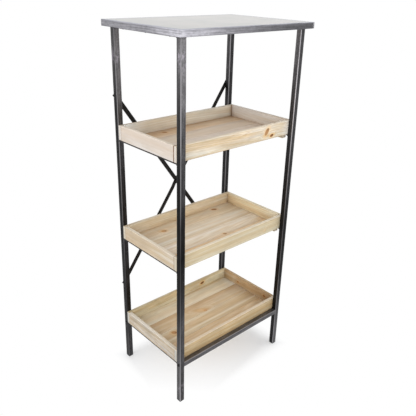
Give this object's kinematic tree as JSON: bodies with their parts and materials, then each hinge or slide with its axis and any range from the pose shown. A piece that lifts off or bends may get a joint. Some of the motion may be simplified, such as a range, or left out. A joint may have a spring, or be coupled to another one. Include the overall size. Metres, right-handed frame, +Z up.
{
  "type": "shelving unit",
  "caption": "Tall open shelving unit: black square-tube frame, X-braced back, metal-clad top and loose pine trays that lift off flat bars.",
  "frame": {"origin": "on the floor, under the middle of the unit's outline", "axes": "+X to the right along the long side, +Y to the braced back, +Z up"},
  "size_m": [0.742, 0.51, 1.705],
  "materials": {
    "tube_steel": "blackened steel tube, rubbed bright along the corners",
    "bar_steel": "black painted flat bar",
    "brace_steel": "black painted flat bar",
    "fastener_steel": "blackened M8 hardware",
    "cap_plastic": "black moulded plastic",
    "clad_sheet": "zinc-grey sheet, mottled on the edges",
    "core_board": "bare plywood",
    "pine_boards": "bare pine with small knots, eased edges",
    "pine_planks": "bare pine planks of differing tone",
    "pine_battens": "sawn pine batten"
  },
  "bodies": {
    "frame": {"brace_bolts": "fastener_steel", "brace_cranked_bar": "brace_steel", "brace_nuts": "fastener_steel", "brace_straight_bar": "brace_steel", "foot_cap_front_left": "cap_plastic", "foot_cap_front_right": "cap_plastic", "foot_cap_rear_left": "cap_plastic", "foot_cap_rear_right": "cap_plastic", "front_rail": "tube_steel", "leg_front_left": "tube_steel", "leg_front_right": "tube_steel", "leg_rear_left": "tube_steel", "leg_rear_right": "tube_steel", "rail_bolts": "fastener_steel", "rail_plugs": "fastener_steel", "rear_rail": "tube_steel", "shelf_bar_bottom_left": "bar_steel", "shelf_bar_bottom_right": "bar_steel", "shelf_bar_middle_left": "bar_steel", "shelf_bar_middle_right": "bar_steel", "shelf_bar_top_left": "bar_steel", "shelf_bar_top_right": "bar_steel", "top_bar_left": "bar_steel", "top_bar_right": "bar_steel", "top_core": "core_board", "top_skin": "clad_sheet"},
    "tray_bottom": {"tray_bottom_floor_plank_1": "pine_planks", "tray_bottom_floor_plank_2": "pine_planks", "tray_bottom_floor_plank_3": "pine_planks", "tray_bottom_floor_plank_4": "pine_planks", "tray_bottom_front_board": "pine_boards", "tray_bottom_left_batten": "pine_battens", "tray_bottom_left_board": "pine_boards", "tray_bottom_rear_board": "pine_boards", "tray_bottom_right_batten": "pine_battens", "tray_bottom_right_board": "pine_boards"},
    "tray_middle": {"tray_middle_floor_plank_1": "pine_planks", "tray_middle_floor_plank_2": "pine_planks", "tray_middle_floor_plank_3": "pine_planks", "tray_middle_floor_plank_4": "pine_planks", "tray_middle_front_board": "pine_boards", "tray_middle_left_batten": "pine_battens", "tray_middle_left_board": "pine_boards", "tray_middle_rear_board": "pine_boards", "tray_middle_right_batten": "pine_battens", "tray_middle_right_board": "pine_boards"},
    "tray_top": {"tray_top_floor_plank_1": "pine_planks", "tray_top_floor_plank_2": "pine_planks", "tray_top_floor_plank_3": "pine_planks", "tray_top_floor_plank_4": "pine_planks", "tray_top_front_board": "pine_boards", "tray_top_left_batten": "pine_battens", "tray_top_left_board": "pine_boards", "tray_top_rear_board": "pine_boards", "tray_top_right_batten": "pine_battens", "tray_top_right_board": "pine_boards"}
  },
  "joints": [
    {"name": "tray_bottom_lift", "type": "slide", "parent": "frame", "child": "tray_bottom", "axis": [0, 0, 1], "range_m": [0, 0.1]},
    {"name": "tray_middle_lift", "type": "slide", "parent": "frame", "child": "tray_middle", "axis": [0, 0, 1], "range_m": [0, 0.1]},
    {"name": "tray_top_lift", "type": "slide", "parent": "frame", "child": "tray_top", "axis": [0, 0, 1], "range_m": [0, 0.1]}
  ]
}
